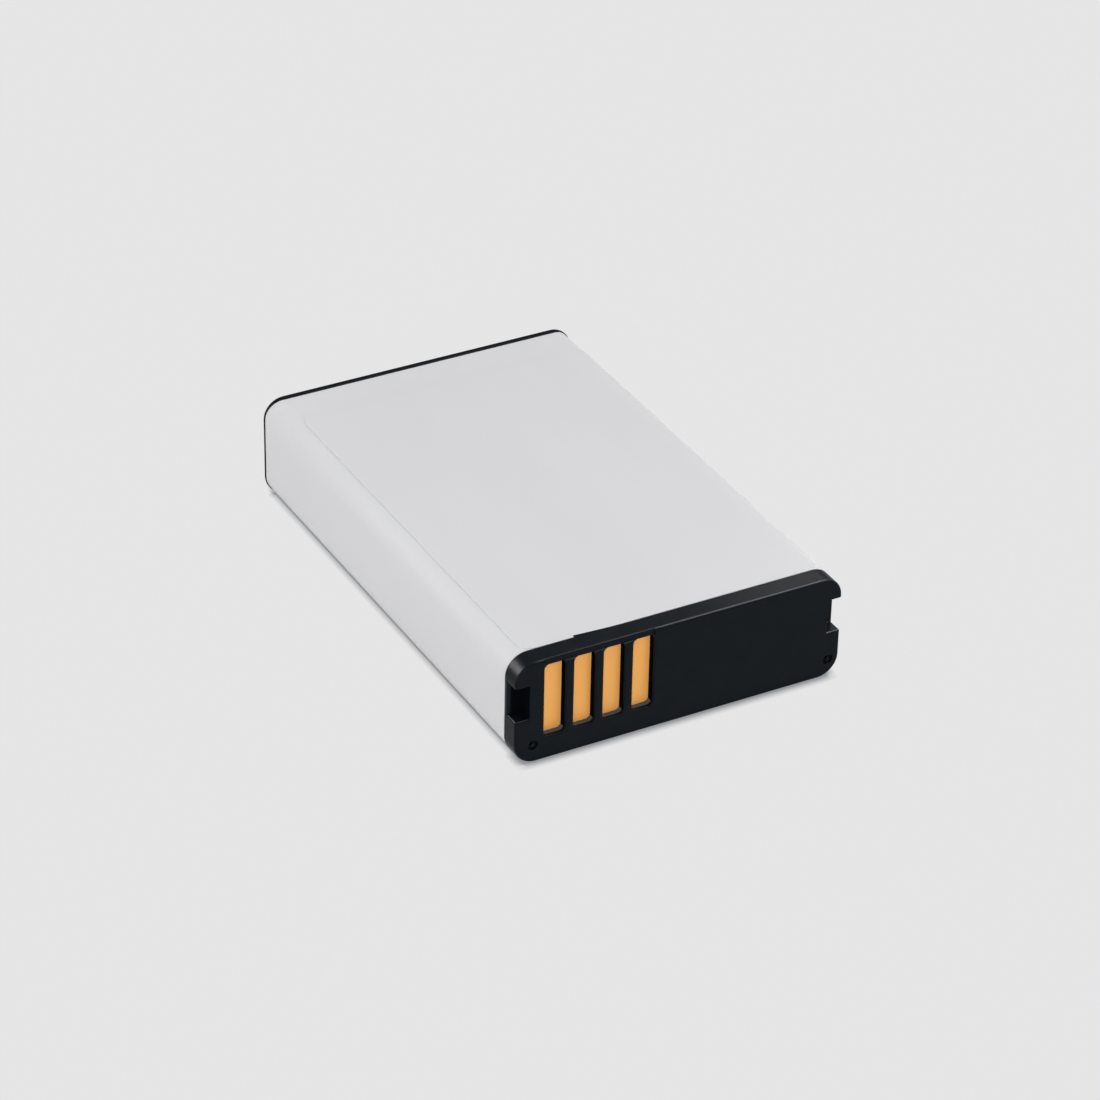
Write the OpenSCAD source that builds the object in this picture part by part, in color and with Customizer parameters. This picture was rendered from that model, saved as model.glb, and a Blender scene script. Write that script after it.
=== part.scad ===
/* [Body] */
// Width across the pack
body_w = 35.5; // [33:0.1:40]
// Length from the contact face to the rear face
body_l = 55.2; // [45:0.1:70]
// Thickness over the label
body_h = 11.2; // [11:0.1:14]
// Radius of the four long corners
corner_r = 2.25; // [1.6:0.05:3]
// Rounding of the outer edges of both caps
edge_r = 0.25; // [0.1:0.05:0.4]

/* [Front cap] */
// Depth of the cap in front of the film
cap_depth = 2.15; // [2:0.05:3]
// Thickness of the wall that carries the contact windows
cap_wall = 0.95; // [0.6:0.05:1.1]
// Length of the skirt that goes under the film
skirt_l = 2.4; // [2.2:0.1:4]
// Thickness of the skirt above and below its cavity
skirt_t = 0.5; // [0.4:0.05:0.6]
// Thickness of the skirt at the two sides
skirt_side = 0.9; // [0.6:0.05:1.2]
// Distance from the left side to the wedge that keeps the film's front edge in place
wedge_x = 7.3; // [5:0.1:15]
// Length of the wedge along the film's edge
wedge_l = 5; // [2:0.1:8]
// Depth of the wedge at its left end
wedge_d = 0.33; // [0.1:0.01:0.4]

/* [Contact windows] */
// Distance from the left side to the first window
window_x = 3.1; // [2.9:0.05:3.5]
// Width of a window
window_w = 2.25; // [1.8:0.05:2.5]
// Distance from one window to the next
window_pitch = 3.15; // [3:0.05:3.5]
// Height of the windows' sill over the underside
window_z = 2.5; // [1.5:0.05:4]
// Height of the windows' top edge over the underside
window_top = 10.5; // [9.5:0.05:10.6]
// Corner radius of a window
window_r = 0.5; // [0.2:0.05:0.7]
// Rounding of the windows' rims
rim_r = 0.2; // [0.1:0.05:0.3]
// Depth of the shallow band over the windows
band_d = 0.13; // [0.05:0.01:0.2]

/* [Latch notches] */
// Width of a notch, from the side inward
notch_w = 1.55; // [1:0.05:1.6]
// Depth of a notch, from the contact face
notch_d = 1.7; // [1.2:0.05:1.8]
// Height of the notches' floor over the underside
notch_z = 5; // [4:0.05:6]
// Height of a notch
notch_h = 3.75; // [2:0.05:4]
// Rounding of the rims of the notches' floor
notch_r = 0.2; // [0.1:0.05:0.5]

/* [Moulding gates] */
// Diameter of a gate recess
gate_d = 1.1; // [0.8:0.05:1.4]
// Diameter of the nub that the gate leaves
gate_nub = 0.35; // [0.2:0.05:0.6]
// Depth of a gate recess
gate_depth = 0.3; // [0.1:0.05:0.4]
// Height of the gates over the underside
gate_z = 1.95; // [1.6:0.05:2.5]
// Distance from the left side to the left gate
gate_left = 1.9; // [1.5:0.05:2.4]
// Distance from the right side to the right gate
gate_right = 1.25; // [1.2:0.05:2.4]

/* [Rear cap] */
// Depth of the rear cap behind the film, on the top and the underside
rear_depth = 0.75; // [0.55:0.05:1.5]
// Depth of the rear cap behind the film, at its two sides
rear_side = 0.35; // [0.3:0.05:0.5]
// Length of the rear cap's step under the film
rear_step = 0.8; // [0.6:0.05:1.5]
// Thickness of the tape between the rear cap and the cell
tape_t = 0.2; // [0.1:0.05:0.3]

/* [Film and label] */
// Thickness of the wrap film
film_t = 0.2; // [0.1:0.05:0.3]
// Thickness of the label round the film
label_t = 0.1; // [0.05:0.01:0.15]
// Distance from the left side to the label's two ends, on the top and on the underside
label_side = 1.9; // [1:0.1:4]
// Distance from the film's front edge to the label
label_front = 0.1; // [0.05:0.05:2]
// Distance from the film's rear edge to the label
label_rear = 4.2; // [0.5:0.1:8]
// Corner radius of the label's ends
label_r = 1.5; // [0.5:0.1:3]

/* [Cell and terminals] */
// Rounding of the cell can's rear edge
can_edge_r = 0.5; // [0.2:0.05:0.8]
// Width of the gasket under the terminal
gasket_w = 7; // [6.6:0.1:7.4]
// Height of the gasket under the terminal
gasket_h = 4; // [3.6:0.1:4.6]
// Thickness of the gasket
gasket_t = 0.3; // [0.2:0.05:0.4]
// Diameter of the terminal's rivet head
rivet_d = 2.2; // [1.6:0.1:2.6]
// Diameter of the plug in the cell's filling hole
plug_d = 1.4; // [1:0.1:1.8]
// Thickness of the nickel strips
strip_t = 0.15; // [0.1:0.01:0.2]
// Width of the nickel strips
strip_w = 2.5; // [1.8:0.1:3]

/* [Board] */
// Distance from the pack's sides to the circuit board
board_side = 2.45; // [2.3:0.05:2.6]
// Thickness of the circuit board
board_t = 0.8; // [0.6:0.05:0.9]
// Clearance around the board and the spacer
board_gap = 0.1; // [0.05:0.05:0.15]
// Thickness of the gold contact pads
pad_t = 0.1; // [0.05:0.01:0.15]
// How far a pad reaches past its window
pad_over = 0.25; // [0.1:0.05:0.35]
// Wall of the moulded spacer
spacer_wall = 1.2; // [0.8:0.1:1.5]

/* [Hidden] */
$fn = 48;

black = [0.09, 0.10, 0.11];
white = [0.88, 0.88, 0.89];
nickel = [0.75, 0.73, 0.68];
eps = 0.01;
window_count = 4;

// Stations along the pack, from the contact face to the rear face
y_face = -body_l / 2;
y_wall = y_face + cap_wall;
y_board = y_wall + board_t;
y_flange = y_face + cap_depth;
y_lid = y_flange + skirt_l;
y_film_end = body_l / 2 - rear_depth;
y_can_end = y_film_end - rear_step;

// Levels over the underside
z_mid = body_h / 2;
z_core_0 = label_t + film_t;
z_core_1 = body_h - z_core_0;
z_cavity_0 = z_core_0 + skirt_t;
z_cavity_1 = z_core_1 - skirt_t;
z_board_0 = z_cavity_0 + board_gap;
z_board_1 = z_cavity_1 - board_gap;

// What lies under the film
core_w = body_w - 2 * z_core_0;
core_r = corner_r - z_core_0;
cavity_w = core_w - 2 * skirt_side;
board_w = body_w - 2 * board_side;
pocket_w = board_w + 2 * board_gap;
y_pocket = y_flange + 0.6;
cavity_r = 0.5;
rear_rim = 1.2;

// The terminals on the cell's lid
card_t = 0.2;
y_card = y_lid - card_t;
plate_w = gasket_w - 1;
plate_h = gasket_h - 0.8;
plate_t = 0.2;
head_t = 0.3;
y_gasket = y_lid - gasket_t;
y_plate = y_gasket - plate_t;
y_head = y_plate - head_t;
card_hole_gap = 0.2;

// The nickel strips, the filling hole's plug and the fuse, from the board's two ends inward
foot_l = 2;
foot_gap = 0.6;
tab_foot_x = spacer_wall + foot_gap - board_w / 2;
tab_x = tab_foot_x + foot_l + 0.5;
plug_x = tab_x + 1.8;
fuse_w = 5;
lead_x = board_w / 2 - spacer_wall - foot_gap - 1.5;
fuse_x = lead_x - fuse_w - 1.6;
fuse_h = 3.4;
fuse_t = 0.8;
y_fuse_0 = y_card - strip_t;
y_fuse_1 = y_fuse_0 - fuse_t;
rise_x = gasket_w / 2 + 0.2;

// The spacer's rib, and the parts on the board's back beside it
rib_w = 1;
rib_x = plug_x + 1.3;
chip_x = rib_x + rib_w + 1.3;
switch_x = chip_x + 4.1;
sense_x = switch_x + 5.3;

// A rounded rectangle between two corners, in the plane across the pack
module round_rect(x0, x1, z0, z1, r) {
    translate([x0 + r, z0]) square([x1 - x0 - 2 * r, z1 - z0]);
    translate([x0, z0 + r]) square([x1 - x0, z1 - z0 - 2 * r]);
    for (x = [x0 + r, x1 - r], z = [z0 + r, z1 - r])
        translate([x, z]) circle(r);
}

// The same, centred on the pack's middle plane
module wide_rect(w, z0, z1, r) {
    round_rect(-w / 2, w / 2, z0, z1, r);
}

// Stands a flat outline across the pack, between two stations
module between(y0, y1) {
    translate([0, y1, 0]) rotate([90, 0, 0]) linear_extrude(y1 - y0) children();
}

// A box given by its lowest corner and its size
module block(x, y, z, w, l, h) {
    translate([x, y, z]) cube([w, l, h]);
}

// Half of an end's section, from its axis to its rounded edge
module end_profile(half, depth, e) {
    square([half, depth - e]);
    square([half - e, depth]);
    translate([half - e, depth - e]) circle(e);
}

// A slab with rounded long corners, whose face toward the front has rounded edges
module round_end(w, z0, z1, r, depth, e) {
    flat_w = w - 2 * r;
    flat_h = z1 - z0 - 2 * r;
    rotate([90, 0, 0]) {
        for (x = [-flat_w / 2, flat_w / 2], z = [z0 + r, z1 - r])
            translate([x, z, 0]) rotate_extrude() end_profile(r, depth, e);
        for (side = [0, 1])
            mirror([side, 0, 0])
                translate([0, z1 - r, 0]) rotate([90, 0, 0])
                    linear_extrude(flat_h) end_profile(w / 2, depth, e);
        for (side = [0, 1])
            translate([0, (z0 + z1) / 2, 0]) mirror([0, side, 0])
                translate([-flat_w / 2, 0, 0]) rotate([90, 0, 90])
                    linear_extrude(flat_w) end_profile((z1 - z0) / 2, depth, e);
    }
}

// What a round rim loses, with the rim's corner in the origin
module rim_profile(r) {
    difference() {
        translate([-eps, -r]) square([r + eps, r + eps]);
        translate([r, -r]) circle(r);
    }
}

// A bar that rounds a straight rim between a face to the left and a face on top
module rim_bar(l, r) {
    rotate([90, 0, 0]) linear_extrude(l) rim_profile(r);
}

// The same between the contact face and a face on top, from left to right
module front_rim_bar(l, r) {
    rotate([0, 0, 90]) rim_bar(l, r);
}

// A quarter ring that rounds the rim of a window's lower left corner
module rim_corner(corner, r) {
    rotate([90, 0, 0]) rotate([0, 0, 180]) rotate_extrude(angle=90)
        translate([corner, 0]) rim_profile(r);
}

function window_left(i) = window_x - body_w / 2 + i * window_pitch;

module windows() {
    for (i = [0 : window_count - 1])
        between(y_face - eps, y_wall + eps)
            round_rect(window_left(i), window_left(i) + window_w, window_z, window_top, window_r);
}

// Rounds the rims of the windows, except along the shallow band
module window_rims() {
    half_w = window_w / 2;
    half_h = (window_top - window_z) / 2;
    for (i = [0 : window_count - 1])
        translate([window_left(i) + half_w, y_face, window_z + half_h]) {
            translate([window_r - half_w, 0, -half_h]) front_rim_bar(window_w - 2 * window_r, rim_r);
            for (side = [0, 1])
                mirror([side, 0, 0]) {
                    translate([half_w, 0, window_r - half_h]) mirror([0, 1, 0])
                        linear_extrude(2 * (half_h - window_r)) rim_profile(rim_r);
                    for (end = [0, 1])
                        mirror([0, 0, end]) translate([window_r - half_w, 0, window_r - half_h])
                            rim_corner(window_r, rim_r);
                }
        }
}

// The shallow band over the windows, up to the cap's top
module band() {
    band_w = (window_count - 1) * window_pitch + window_w;
    block(window_left(0), y_face - eps, window_top, band_w, band_d + eps,
          body_h - window_top + eps);
}

// One latch notch, at the left side
module notch() {
    x = -body_w / 2;
    block(x - eps, y_face - eps, notch_z, notch_w + eps, notch_d + eps, notch_h);
    translate([x, y_face + notch_d, notch_z]) rim_bar(notch_d + eps, notch_r);
    translate([x - eps, y_face, notch_z]) front_rim_bar(notch_w + eps, notch_r);
}

module gate(x) {
    between(y_face - eps, y_face + gate_depth) difference() {
        translate([x, gate_z]) circle(d = gate_d);
        translate([x, gate_z]) circle(d = gate_nub);
    }
}

module pack_outline() {
    wide_rect(body_w, 0, body_h, corner_r);
}

module film_outline() {
    wide_rect(body_w - 2 * label_t, label_t, body_h - label_t, corner_r - label_t);
}

module core_outline() {
    wide_rect(core_w, z_core_0, z_core_1, core_r);
}

// The wedge behind the cap's top, from a level up to the pack's top or past it
module wedge(z0, z1) {
    translate([wedge_x - body_w / 2, y_flange, z0]) linear_extrude(z1 - z0)
        polygon([[0, -eps], [wedge_l, -eps], [wedge_l, 0], [0, wedge_d]]);
}

module front_cap() {
    color(black) difference() {
        union() {
            translate([0, y_flange, 0])
                round_end(body_w, 0, body_h, corner_r, cap_depth, edge_r);
            wedge(z_core_1 - eps, body_h);
            between(y_flange - eps, y_lid) core_outline();
        }
        between(y_wall, y_lid + eps)
            wide_rect(pocket_w, z_cavity_0, z_cavity_1, cavity_r);
        between(y_pocket, y_lid + eps)
            wide_rect(cavity_w, z_cavity_0, z_cavity_1, cavity_r);
        windows();
        window_rims();
        band();
        for (side = [0, 1])
            mirror([side, 0, 0]) notch();
        gate(gate_left - body_w / 2);
        gate(body_w / 2 - gate_right);
    }
}

// Where the film reaches further back, from the long corners to the sides
module side_reach() {
    slope = (rear_depth - rear_side) / corner_r;
    inner = body_w / 2 - corner_r;
    outer = body_w / 2 + 1;
    for (side = [0, 1])
        mirror([side, 0, 0]) translate([0, 0, -eps]) linear_extrude(body_h + 2 * eps)
            polygon([[inner, y_film_end - eps], [outer, y_film_end - eps],
                     [outer, y_film_end + slope * (outer - inner)], [inner, y_film_end]]);
}

// The rear cap, cored from the cell's side behind the tape
module rear_cap() {
    core_d = rear_step - 0.1;
    core_count = 3;
    core_pitch = (core_w - 2 * rear_rim) / core_count;
    color(black) difference() {
        union() {
            mirror([0, 1, 0]) translate([0, -y_film_end, 0])
                round_end(body_w, 0, body_h, corner_r, rear_depth, edge_r);
            between(y_can_end, y_film_end + eps) core_outline();
        }
        difference() {
            side_reach();
            between(y_film_end - 1, body_l / 2 + 1) core_outline();
        }
        between(y_can_end - eps, y_can_end + tape_t) tape_outline();
        for (i = [0 : core_count - 1]) {
            x = -core_w / 2 + rear_rim + i * core_pitch;
            between(y_can_end - eps, y_can_end + core_d)
                round_rect(x + rear_rim / 2, x + core_pitch - rear_rim / 2, z_core_0 + 2 * rear_rim,
                           z_core_1 - 2 * rear_rim, cavity_r);
        }
    }
}

module tape_outline() {
    wide_rect(core_w - 2 * rear_rim, z_core_0 + rear_rim, z_core_1 - rear_rim, 1);
}

module rear_tape() {
    color("gainsboro") between(y_can_end, y_can_end + tape_t) tape_outline();
}

module sleeve_outline() {
    difference() {
        film_outline();
        core_outline();
    }
}

// A closed sleeve over the cell and the caps' skirts
module wrap_film() {
    color(white) difference() {
        union() {
            between(y_flange, y_film_end) sleeve_outline();
            intersection() {
                between(y_film_end - eps, body_l / 2) sleeve_outline();
                side_reach();
            }
        }
        wedge(z_mid, body_h + eps);
    }
}

// A sheet round the film, from the top over the right side to the underside
module wrap_label() {
    y0 = y_flange + label_front;
    y1 = y_film_end - label_rear;
    color(white) difference() {
        intersection() {
            between(y0, y1) difference() {
                pack_outline();
                film_outline();
            }
            translate([0, 0, -eps]) linear_extrude(body_h + 2 * eps)
                round_rect(label_side - body_w / 2, body_w, y0, y1, label_r);
        }
        wedge(z_mid, body_h + eps);
    }
}

module cell_can() {
    color("silver") mirror([0, 1, 0]) translate([0, -y_lid, 0])
        round_end(core_w, z_core_0, z_core_1, core_r, y_can_end - y_lid, can_edge_r);
}

module terminal_gasket() {
    color("dimgray") between(y_gasket, y_lid)
        wide_rect(gasket_w, z_mid - gasket_h / 2, z_mid + gasket_h / 2, 0.5);
}

module terminal_rivet() {
    color(nickel) {
        between(y_plate, y_gasket)
            wide_rect(plate_w, z_mid - plate_h / 2, z_mid + plate_h / 2, 0.3);
        between(y_head, y_plate + eps) translate([0, z_mid]) circle(d = rivet_d);
    }
}

module fill_plug() {
    color("lightgray") between(y_card, y_lid) translate([plug_x, z_mid]) circle(d = plug_d);
}

// The card on the lid, open around what stands on the lid
module lid_insulator() {
    g = card_hole_gap;
    color("tan") between(y_card, y_lid) difference() {
        wide_rect(cavity_w - 2 * board_gap, z_board_0, z_board_1, cavity_r);
        wide_rect(gasket_w + 2 * g, z_mid - gasket_h / 2 - g, z_mid + gasket_h / 2 + g, 0.6);
        translate([plug_x, z_mid]) circle(d = plug_d + 2 * g);
        translate([tab_foot_x - g, z_mid - strip_w / 2 - g])
            square([tab_x - tab_foot_x + strip_t + 2 * g, strip_w + 2 * g]);
    }
}

// Three legs of a folded strip, each a box across the strip's full width
module strip(legs) {
    color(nickel)
        for (leg = legs)
            block(leg[0], leg[1], z_mid - strip_w / 2, leg[2] - leg[0], leg[3] - leg[1], strip_w);
}

// From the lid to the board
module positive_tab() {
    strip([
        [tab_foot_x, y_lid - strip_t, tab_x, y_lid],
        [tab_x - eps, y_board, tab_x + strip_t, y_lid],
        [tab_x, y_board, tab_x + foot_l, y_board + strip_t]
    ]);
}

// From the terminal's rivet head to the back of the fuse
module fuse_lead() {
    strip([
        [-rivet_d / 2, y_head - strip_t, rise_x + strip_t, y_head],
        [rise_x, y_head - strip_t, rise_x + strip_t, y_card],
        [rise_x, y_card - strip_t, fuse_x + fuse_w, y_card]
    ]);
}

// From the front of the fuse to the board
module negative_lead() {
    strip([
        [fuse_x, y_fuse_1 - strip_t, lead_x + strip_t, y_fuse_1],
        [lead_x, y_board, lead_x + strip_t, y_fuse_1],
        [lead_x - foot_l, y_board, lead_x + strip_t, y_board + strip_t]
    ]);
}

module thermal_fuse() {
    color("darkolivegreen")
        block(fuse_x, y_fuse_1, z_mid - fuse_h / 2, fuse_w, fuse_t, fuse_h);
}

function pad_left(i) = window_left(i) - pad_over;

module pad_outline(i) {
    round_rect(pad_left(i), pad_left(i) + window_w + 2 * pad_over,
               window_z - pad_over, z_board_1 - 0.05, 0.3);
}

module contact_pad(i) {
    color("goldenrod") between(y_wall, y_wall + pad_t) pad_outline(i);
}

module circuit_board() {
    color("darkgreen") difference() {
        between(y_wall, y_board) wide_rect(board_w, z_board_0, z_board_1, cavity_r);
        for (i = [0 : window_count - 1])
            between(y_wall - eps, y_wall + pad_t) pad_outline(i);
    }
}

// A flat component on the back of the board
module chip(x, z, w, h, t) {
    block(x, y_board, z, w, t, h);
}

// The same with a round mark at its first corner
module marked_chip(x, z, w, h, t) {
    mark_d = 0.4;
    mark_depth = 0.1;
    inset = 0.5;
    difference() {
        chip(x, z, w, h, t);
        between(y_board + t - mark_depth, y_board + t + eps)
            translate([x + inset, z + h - inset]) circle(d = mark_d);
    }
}

module protection_chip() {
    color(black) marked_chip(chip_x, z_mid + 0.8, 2.9, 1.6, 0.8);
}

module switch_chip() {
    color(black) marked_chip(switch_x, z_mid - 0.6, 3, 3, 0.9);
}

module filter_capacitor() {
    color("peru") chip(chip_x, z_mid - 1.4, 1.6, 0.8, 0.8);
}

module sense_resistor() {
    color("darkslategray") chip(sense_x, z_mid + 0.8, 3.2, 1.6, 0.6);
}

module identity_resistor() {
    color("darkslategray") chip(chip_x, z_mid - 2.8, 1.6, 0.8, 0.45);
}

module thermistor() {
    color("saddlebrown") chip(sense_x, z_mid - 2.4, 1.6, 0.8, 0.8);
}

// A frame with one rib that holds the board against the cap's wall
module board_spacer() {
    w = spacer_wall;
    color(black) between(y_board, y_card) difference() {
        wide_rect(board_w, z_board_0, z_board_1, cavity_r);
        round_rect(-board_w / 2 + w, rib_x, z_board_0 + w, z_board_1 - w, 0.3);
        round_rect(rib_x + rib_w, board_w / 2 - w, z_board_0 + w, z_board_1 - w, 0.3);
    }
}

front_cap();
rear_cap();
wrap_film();
wrap_label();
rear_tape();
cell_can();
terminal_gasket();
terminal_rivet();
fill_plug();
lid_insulator();
positive_tab();
fuse_lead();
thermal_fuse();
negative_lead();
circuit_board();
contact_pad(0);  // contact_pad_1
contact_pad(1);  // contact_pad_2
contact_pad(2);  // contact_pad_3
contact_pad(3);  // contact_pad_4
protection_chip();
switch_chip();
filter_capacitor();
sense_resistor();
identity_resistor();
thermistor();
board_spacer();
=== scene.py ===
from math import cos, pi, radians, sin

import bpy
from mathutils import Matrix, Vector

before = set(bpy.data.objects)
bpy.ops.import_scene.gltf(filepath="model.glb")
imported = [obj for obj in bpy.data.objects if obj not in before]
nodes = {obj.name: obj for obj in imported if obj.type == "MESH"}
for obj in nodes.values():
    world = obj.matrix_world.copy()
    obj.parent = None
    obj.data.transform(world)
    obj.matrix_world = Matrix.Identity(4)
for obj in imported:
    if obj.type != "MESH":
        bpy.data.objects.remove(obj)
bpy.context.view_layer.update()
bpy.ops.object.select_all(action="DESELECT")

MM = 0.001


# Shader helpers

WHOLE_RANGE = (0.0, 1.0)
NOISE_RANGE = (0.3, 0.7)
TONE_RANGE = (0.35, 0.65)
NOISE_ROUGHNESS = 0.55
BEVEL_SAMPLES = 8


def new_material(name):
    """An empty material, its node tree and its output node."""
    material = bpy.data.materials.new(name)
    material.use_nodes = True
    tree = material.node_tree
    tree.nodes.clear()
    output = tree.nodes.new("ShaderNodeOutputMaterial")
    return material, tree, output


def object_coordinates(tree, scale=(1.0, 1.0, 1.0)):
    """Object coordinates through a Mapping node, so that a pattern can be stretched."""
    coordinates = tree.nodes.new("ShaderNodeTexCoord")
    mapping = tree.nodes.new("ShaderNodeMapping")
    mapping.inputs["Scale"].default_value = scale
    tree.links.new(coordinates.outputs["Object"], mapping.inputs["Vector"])
    return mapping.outputs["Vector"]


def place_along(tree, axis):
    """The place along one axis of the object."""
    parts = tree.nodes.new("ShaderNodeSeparateXYZ")
    tree.links.new(object_coordinates(tree), parts.inputs["Vector"])
    return parts.outputs[axis]


def noise(tree, vector, size_mm, detail=3.0):
    """Noise whose lumps are about size_mm across."""
    texture = tree.nodes.new("ShaderNodeTexNoise")
    texture.inputs["Scale"].default_value = 1.0 / (size_mm * MM)
    texture.inputs["Detail"].default_value = detail
    texture.inputs["Roughness"].default_value = NOISE_ROUGHNESS
    tree.links.new(vector, texture.inputs["Vector"])
    return texture.outputs["Fac"]


def spread(tree, value, low, high, between=NOISE_RANGE):
    """Maps a value that runs between two others to the range from low to high.

    low and high are numbers or sockets.
    """
    node = tree.nodes.new("ShaderNodeMapRange")
    node.inputs["From Min"].default_value, node.inputs["From Max"].default_value = between
    for socket, limit in (("To Min", low), ("To Max", high)):
        if isinstance(limit, bpy.types.NodeSocket):
            tree.links.new(limit, node.inputs[socket])
        else:
            node.inputs[socket].default_value = limit
    tree.links.new(value, node.inputs["Value"])
    return node.outputs["Result"]


def calculate(tree, operation, first, second=None):
    """A Math node with one or two linked values."""
    node = tree.nodes.new("ShaderNodeMath")
    node.operation = operation
    tree.links.new(first, node.inputs[0])
    if second is not None:
        tree.links.new(second, node.inputs[1])
    return node.outputs["Value"]


def two_tones(tree, value, first, second, between=TONE_RANGE):
    """A soft change from one colour to another, while a value runs between two others."""
    ramp = tree.nodes.new("ShaderNodeValToRGB")
    for element, position, color in zip(ramp.color_ramp.elements, between, (first, second)):
        element.position = position
        element.color = (*color, 1.0)
    tree.links.new(value, ramp.inputs["Fac"])
    return ramp.outputs["Color"]


def bump(tree, height, depth_mm, strength, under=None):
    """A bump of depth_mm from a height between 0 and 1, on top of a normal if one is given."""
    node = tree.nodes.new("ShaderNodeBump")
    node.inputs["Strength"].default_value = strength
    node.inputs["Distance"].default_value = depth_mm * MM
    tree.links.new(height, node.inputs["Height"])
    if under is not None:
        tree.links.new(under, node.inputs["Normal"])
    return node.outputs["Normal"]


def soft_edges(tree, radius_mm):
    """A normal that turns smoothly over each sharp edge, as on a moulded part."""
    node = tree.nodes.new("ShaderNodeBevel")
    node.samples = BEVEL_SAMPLES
    node.inputs["Radius"].default_value = radius_mm * MM
    return node.outputs["Normal"]


def surface(tree, output, color, roughness, normal, **constants):
    """A Principled shader with linked inputs and constants on its own sockets."""
    shader = tree.nodes.new("ShaderNodeBsdfPrincipled")
    for socket, value in constants.items():
        shader.inputs[socket.replace("_", " ")].default_value = value
    for socket, link in (("Base Color", color), ("Roughness", roughness), ("Normal", normal)):
        tree.links.new(link, shader.inputs[socket])
    tree.links.new(shader.outputs["BSDF"], output.inputs["Surface"])


# Materials

def moulded_plastic(name, dark, light, roughness, specular, edge_mm=0.03, across=None):
    """Moulded plastic with a fine spark-eroded grain and slightly uneven gloss.

    Its colour is slightly uneven too. With across=(axis, between) it changes from dark to light
    between two places along that axis instead.
    """
    material, tree, output = new_material(name)
    vector = object_coordinates(tree)
    tone = noise(tree, vector, size_mm=2.5)
    grain = noise(tree, vector, size_mm=0.12, detail=2.0)
    if across is None:
        color = two_tones(tree, tone, dark, light)
    else:
        axis, between = across
        share = spread(tree, place_along(tree, axis), *WHOLE_RANGE, between)
        color = two_tones(tree, share, dark, light, WHOLE_RANGE)
    surface(
        tree, output, color,
        roughness=spread(tree, tone, *roughness),
        normal=bump(tree, grain, depth_mm=0.004, strength=0.6, under=soft_edges(tree, edge_mm)),
        Specular_IOR_Level=specular,
    )
    return material


def white_film(name, cool, warm, roughness):
    """White film: a faint change of tone and a very fine orange-peel."""
    material, tree, output = new_material(name)
    tone = noise(tree, object_coordinates(tree, (1.0, 0.25, 1.0)), size_mm=9.0, detail=2.0)
    peel = noise(tree, object_coordinates(tree), size_mm=0.5, detail=2.0)
    surface(
        tree, output,
        color=two_tones(tree, tone, cool, warm),
        roughness=spread(tree, tone, *roughness),
        normal=bump(tree, peel, depth_mm=0.002, strength=0.4),
        Specular_IOR_Level=0.12,
    )
    return material


def brushed_metal(name, first, second, roughness, stretch, streak_mm, metallic=1.0):
    """Metal whose colour and gloss change in fine streaks along one direction."""
    material, tree, output = new_material(name)
    streak = noise(tree, object_coordinates(tree, stretch), streak_mm)
    surface(
        tree, output,
        color=two_tones(tree, streak, first, second),
        roughness=spread(tree, streak, *roughness),
        normal=bump(tree, streak, depth_mm=0.002, strength=0.3),
        Metallic=metallic,
    )
    return material


# Places on the front cap where the colour of its recesses changes from painted shade to painted
# light: near the left notch's outer edge, and on the window sills toward the pads
NOTCH_RIM = (-17.3 * MM, -17.5 * MM)
SILL_PAINTED_LIGHT = (-27.25 * MM, -27.12 * MM)

cap_black = moulded_plastic(
    "black moulded plastic", (0.0022, 0.0042, 0.0066), (0.0030, 0.0052, 0.0078),
    roughness=(0.34, 0.42), specular=0.08, edge_mm=0.14)
# The walls of the recesses: a matt copy of the black plastic that paints shade into them, lighter
# near the left notch's outer edge as painted light
recess_painted_shade = moulded_plastic(
    "black plastic with painted shade, for the recesses", (0.0025, 0.0034, 0.0044), (0.016, 0.020, 0.024),
    roughness=(0.8, 0.9), specular=0.0, across=("X", NOTCH_RIM))
# The window sills: black, painted lighter toward the pads as painted light
sill_with_painted_light = moulded_plastic(
    "black plastic of the window sills, with painted light", (0.0025, 0.0045, 0.0070), (0.105, 0.122, 0.136),
    roughness=(0.5, 0.6), specular=0.05, across=("Y", SILL_PAINTED_LIGHT))
film_white = white_film(
    "white wrap film", (0.715, 0.715, 0.728), (0.73, 0.73, 0.742), roughness=(0.58, 0.66))
label_white = white_film(
    "white label", (0.712, 0.712, 0.727), (0.727, 0.727, 0.74), roughness=(0.62, 0.70))
gold = brushed_metal(
    "gold plating", (1.0, 0.455, 0.104), (1.0, 0.48, 0.115),
    roughness=(0.42, 0.52), stretch=(1.0, 1.0, 0.15), streak_mm=0.5, metallic=0.15)
can_aluminium = brushed_metal(
    "drawn aluminium", (0.70, 0.71, 0.72), (0.78, 0.79, 0.80),
    roughness=(0.30, 0.42), stretch=(1.0, 0.08, 1.0), streak_mm=0.6)
nickel_strip = brushed_metal(
    "nickel strip", (0.58, 0.56, 0.51), (0.66, 0.64, 0.59),
    roughness=(0.28, 0.38), stretch=(0.2, 0.2, 1.0), streak_mm=0.3)
gasket_plastic = moulded_plastic(
    "gasket plastic", (0.05, 0.05, 0.055), (0.065, 0.065, 0.07),
    roughness=(0.5, 0.6), specular=0.4)
insulating_card = moulded_plastic(
    "insulating card", (0.42, 0.29, 0.15), (0.50, 0.36, 0.20),
    roughness=(0.7, 0.85), specular=0.2)
green_board = moulded_plastic(
    "green board lacquer", (0.012, 0.11, 0.045), (0.018, 0.14, 0.06),
    roughness=(0.22, 0.32), specular=0.5)
chip_plastic = moulded_plastic(
    "chip plastic", (0.012, 0.012, 0.013), (0.018, 0.018, 0.019),
    roughness=(0.45, 0.6), specular=0.4)
capacitor_body = moulded_plastic(
    "fired tan ceramic", (0.40, 0.26, 0.13), (0.48, 0.32, 0.17),
    roughness=(0.35, 0.45), specular=0.5)
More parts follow.
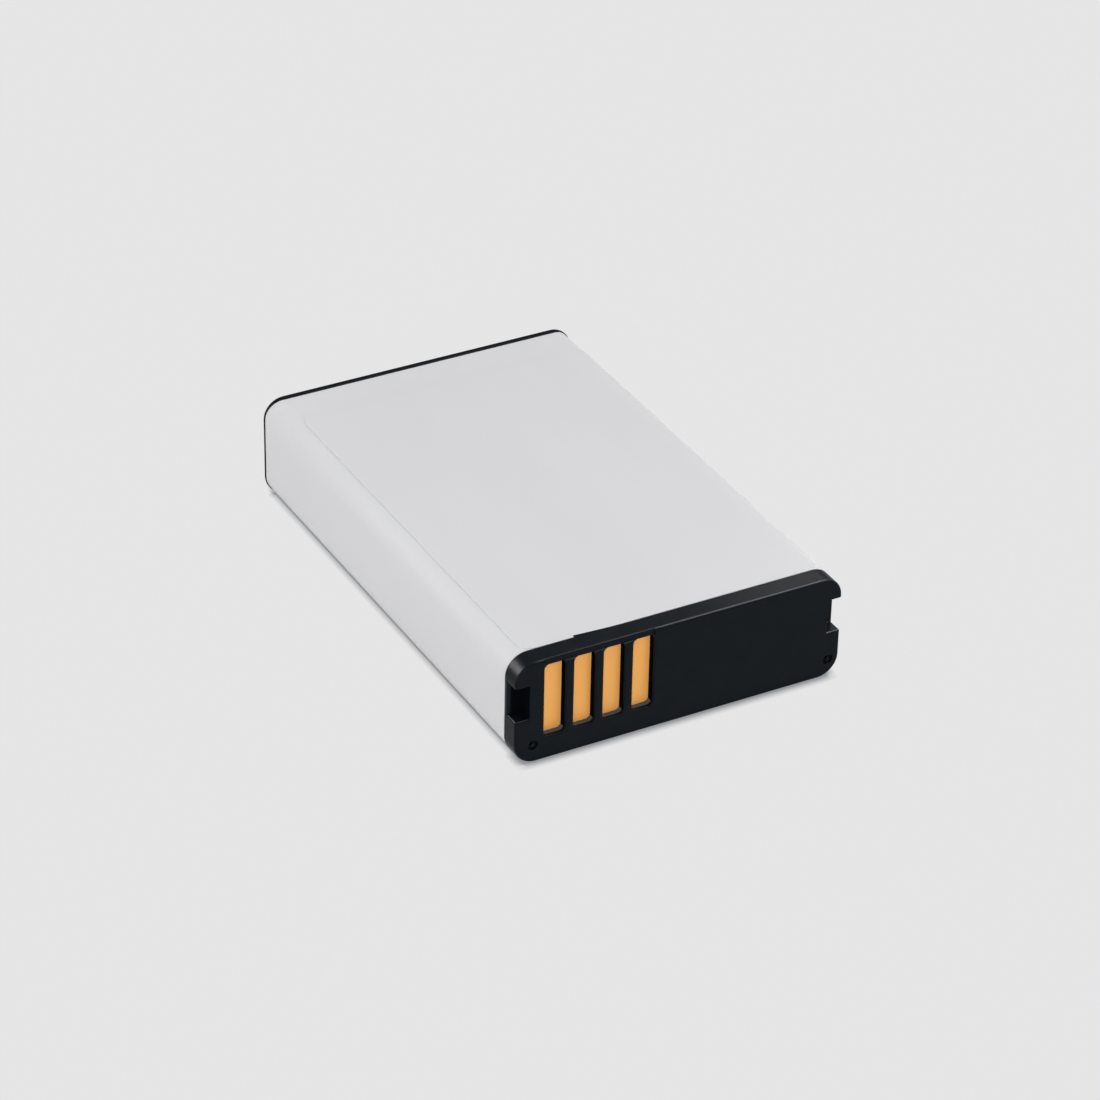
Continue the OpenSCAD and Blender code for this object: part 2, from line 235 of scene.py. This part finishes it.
resistor_body = moulded_plastic(
    "resistor coating", (0.02, 0.024, 0.03), (0.03, 0.035, 0.04),
    roughness=(0.3, 0.4), specular=0.5)
thermistor_body = moulded_plastic(
    "fired brown ceramic", (0.20, 0.09, 0.045), (0.27, 0.13, 0.065),
    roughness=(0.4, 0.5), specular=0.5)
fuse_coating = moulded_plastic(
    "fuse coating", (0.12, 0.15, 0.05), (0.16, 0.19, 0.07),
    roughness=(0.35, 0.5), specular=0.5)
foam_tape = moulded_plastic(
    "double-sided tape", (0.62, 0.62, 0.60), (0.70, 0.70, 0.68),
    roughness=(0.75, 0.9), specular=0.2)

finishes = {
    cap_black: ("front_cap", "rear_cap", "board_spacer"),
    film_white: ("wrap_film",),
    label_white: ("wrap_label",),
    gold: ("contact_pad_1", "contact_pad_2", "contact_pad_3", "contact_pad_4"),
    can_aluminium: ("cell_can", "fill_plug"),
    nickel_strip: ("terminal_rivet", "positive_tab", "fuse_lead", "negative_lead"),
    gasket_plastic: ("terminal_gasket",),
    insulating_card: ("lid_insulator",),
    green_board: ("circuit_board",),
    chip_plastic: ("protection_chip", "switch_chip"),
    capacitor_body: ("filter_capacitor",),
    resistor_body: ("sense_resistor", "identity_resistor"),
    thermistor_body: ("thermistor",),
    fuse_coating: ("thermal_fuse",),
    foam_tape: ("rear_tape",),
}
for material, names in finishes.items():
    for name in names:
        nodes[name].data.materials.clear()
        nodes[name].data.materials.append(material)


# Recesses of the front cap: the walls of its windows and of its left notch get a matt copy of the
# black plastic, which paints shade into them, and the windows' sills are painted lighter toward
# the pads, as painted light

WINDOWS_X = (-14.7 * MM, -2.9 * MM)
WINDOWS_Z = (2.3 * MM, 10.7 * MM)
NOTCH_X = (-17.7 * MM, -16.0 * MM)
NOTCH_Z = (5.2 * MM, 8.8 * MM)
WALLS_Y = (-27.35 * MM, -25.5 * MM)
SILLS_Y = (-27.58 * MM, -25.5 * MM)
SILLS_TOP = 2.9 * MM
FACING_UP = 0.3
PLAIN_SLOT, WALL_SLOT, SILL_SLOT = range(3)


def within(value, limits):
    """Whether a value lies between two limits."""
    return limits[0] < value < limits[1]


def cap_slot(face):
    """The material slot of one face of the front cap."""
    place = face.center
    in_window = within(place.x, WINDOWS_X) and within(place.z, WINDOWS_Z)
    in_notch = within(place.x, NOTCH_X) and within(place.z, NOTCH_Z)
    if face.normal.z > FACING_UP:
        is_sill = in_window and within(place.y, SILLS_Y) and place.z < SILLS_TOP
        return SILL_SLOT if is_sill else PLAIN_SLOT
    is_wall = (in_window or in_notch) and within(place.y, WALLS_Y)
    return WALL_SLOT if is_wall else PLAIN_SLOT


cap_mesh = nodes["front_cap"].data
cap_mesh.materials.append(recess_painted_shade)
cap_mesh.materials.append(sill_with_painted_light)
for face in cap_mesh.polygons:
    face.material_index = cap_slot(face)


# Floor

PALE = (0.787, 0.787, 0.787)
SHADOW = (0.29, 0.295, 0.31)
SHADOW_RANGE = (0.5, 1.0)
SHADOW_SAMPLES = 16
FLOOR_SIZE = 8.0
FLOOR_DROP = 0.02 * MM

# How far the contact shadow reaches at the pack's sides, before its front and behind its rear
SIDE_REACH = 0.6 * MM
OUTER_REACH = 0.95 * MM
FRONT_REACH = 1.1 * MM
REAR_REACH = 2.6 * MM

# Places on the floor between which that reach changes
UNDER_SIDES = (16.35 * MM, 16.8 * MM)
BESIDE_PACK = (16.8 * MM, 17.75 * MM)
BEFORE_FRONT = (-28.15 * MM, -27.7 * MM)
REAR_CORNERS = (16.55 * MM, 17.1 * MM)
BEHIND_REAR = (27.0 * MM, 27.9 * MM)


def shadow_reach(tree):
    """Reach of the contact shadow, which differs along the sides, the front and the rear."""
    aside = calculate(tree, "ABSOLUTE", place_along(tree, "X"))
    along = place_along(tree, "Y")
    under = spread(tree, aside, FRONT_REACH, SIDE_REACH, UNDER_SIDES)
    outside = spread(tree, aside, SIDE_REACH, OUTER_REACH, BESIDE_PACK)
    sides = calculate(tree, "MAXIMUM", under, outside)
    front = spread(tree, along, FRONT_REACH, sides, BEFORE_FRONT)
    rear = spread(tree, aside, REAR_REACH, SIDE_REACH, REAR_CORNERS)
    return spread(tree, along, front, rear, BEHIND_REAR)


def floor_material():
    """A pale floor: plain for the camera and for reflections, with a short soft contact shadow."""
    material, tree, output = new_material("pale floor")
    paths = tree.nodes.new("ShaderNodeLightPath").outputs
    seen = calculate(tree, "MAXIMUM", paths["Is Camera Ray"], paths["Is Glossy Ray"])
    plain_for = calculate(tree, "MAXIMUM", seen, paths["Is Transmission Ray"])
    contact = tree.nodes.new("ShaderNodeAmbientOcclusion")
    contact.samples = SHADOW_SAMPLES
    tree.links.new(shadow_reach(tree), contact.inputs["Distance"])
    shade = two_tones(tree, contact.outputs["AO"], SHADOW, PALE, SHADOW_RANGE)
    plain = tree.nodes.new("ShaderNodeEmission")
    tree.links.new(shade, plain.inputs["Color"])
    diffuse = tree.nodes.new("ShaderNodeBsdfDiffuse")
    diffuse.inputs["Color"].default_value = (*PALE, 1.0)
    mix = tree.nodes.new("ShaderNodeMixShader")
    tree.links.new(plain_for, mix.inputs["Fac"])
    tree.links.new(diffuse.outputs["BSDF"], mix.inputs[1])
    tree.links.new(plain.outputs["Emission"], mix.inputs[2])
    tree.links.new(mix.outputs["Shader"], output.inputs["Surface"])
    return material


bpy.ops.mesh.primitive_plane_add(size=FLOOR_SIZE, location=(0.0, 0.0, -FLOOR_DROP))
floor = bpy.context.object
floor.name = "floor"
floor.data.materials.append(floor_material())


# Light

HORIZON_LIGHT = 0.18
OVERHEAD_LIGHT = 0.8
SKY_RANGE = (0.45, 0.8)

# Name, direction from the pack, distance, width, height and brightness of each lamp
STUDIO_LAMPS = (
    ("key_right", (0.70, -0.25, 0.67), 2.0, 0.80, 0.80, 4.4),
    ("fill_left", (-0.98, -0.10, 0.10), 1.0, 0.50, 0.40, 4.6),
    ("fill_right", (0.95, 0.2, 0.2), 1.0, 0.50, 0.40, 1.6),
    ("front_left", (-0.38, -0.90, 0.20), 2.0, 1.00, 0.80, 7.0),
    ("overhead_strip", (0.41, 0.0, 0.91), 1.0, 0.70, 0.06, 9.5),
)

# Small bright cards beside the front cap, seen only in its gloss: the same values, and the place
# in millimetres from which each card's direction and distance are taken
FAR, NEAR = 70.0 * MM, 45.0 * MM
GLOSS_CARDS = (
    ("card_right_end", (0.41, 0.74, 0.53), NEAR, 0.016, 0.018, 2.6, (18.5, -26.5, 11.2)),
    ("card_left_corner", (-0.575, 0.74, 0.335), FAR, 0.028, 0.028, 24.0, (-17.0, -26.5, 10.7)),
    ("card_front_edge", (0.41, -0.05, 0.91), FAR, 0.06, 0.04, 14.0, (6.0, -27.5, 11.1)),
    ("card_edge_end", (0.41, -0.05, 0.91), NEAR, 0.02, 0.03, 26.0, (24.0, -27.5, 11.1)),
)


def studio_world():
    """Soft light from overhead that falls off toward the horizon."""
    world = bpy.data.worlds.new("studio")
    bpy.context.scene.world = world
    world.use_nodes = True
    tree = world.node_tree
    direction = tree.nodes.new("ShaderNodeTexCoord")
    parts = tree.nodes.new("ShaderNodeSeparateXYZ")
    tree.links.new(direction.outputs["Generated"], parts.inputs["Vector"])
    strength = spread(tree, parts.outputs["Z"], HORIZON_LIGHT, OVERHEAD_LIGHT, SKY_RANGE)
    background = tree.nodes["Background"]
    tree.links.new(strength, background.inputs["Strength"])
    background.inputs["Color"].default_value = (1.0, 1.0, 1.0, 1.0)


def softbox(name, direction, distance, width, height, brightness, aim_mm=(0.0, 0.0, 5.0)):
    """A rectangular lamp in a direction from aim_mm, with a brightness per unit of its area."""
    aim = Vector(aim_mm) * MM
    place = aim + Vector(direction).normalized() * distance
    bpy.ops.object.light_add(type="AREA", location=place)
    lamp = bpy.context.object
    lamp.name = name
    lamp.data.shape = "RECTANGLE"
    lamp.data.size = width
    lamp.data.size_y = height
    lamp.data.energy = brightness * pi * width * height
    lamp.rotation_euler = (aim - place).to_track_quat("-Z", "Y").to_euler()
    return lamp


studio_world()
for values in STUDIO_LAMPS:
    softbox(*values)
for values in GLOSS_CARDS:
    card = softbox(*values)
    card.visible_camera = False
    card.visible_diffuse = False


# Camera

CAMERA_AZIMUTH = 28.954
CAMERA_ELEVATION = 32.094
CAMERA_ROLL = 1.155
CAMERA_DISTANCE = 419.8 * MM
CAMERA_TARGET = Vector((-0.858, -3.086, 5.581)) * MM
LENS = 138.83
SENSOR_WIDTH = 36.0
CLIP_START = 10.0 * MM

azimuth, elevation, roll = (radians(a) for a in (CAMERA_AZIMUTH, CAMERA_ELEVATION, CAMERA_ROLL))
back = Vector((-sin(azimuth) * cos(elevation), -cos(azimuth) * cos(elevation), sin(elevation)))
level_right = (-back).cross(Vector((0.0, 0.0, 1.0))).normalized()
level_up = level_right.cross(-back)
right = level_right * cos(roll) + level_up * sin(roll)
up = level_up * cos(roll) - level_right * sin(roll)

bpy.ops.object.camera_add(location=CAMERA_TARGET + back * CAMERA_DISTANCE)
camera = bpy.context.object
camera.name = "camera"
camera.rotation_euler = Matrix((right, up, back)).transposed().to_euler()
camera.data.sensor_width = SENSOR_WIDTH
camera.data.lens = LENS
camera.data.clip_start = CLIP_START
bpy.context.scene.camera = camera
bpy.context.scene.view_settings.view_transform = "Standard"
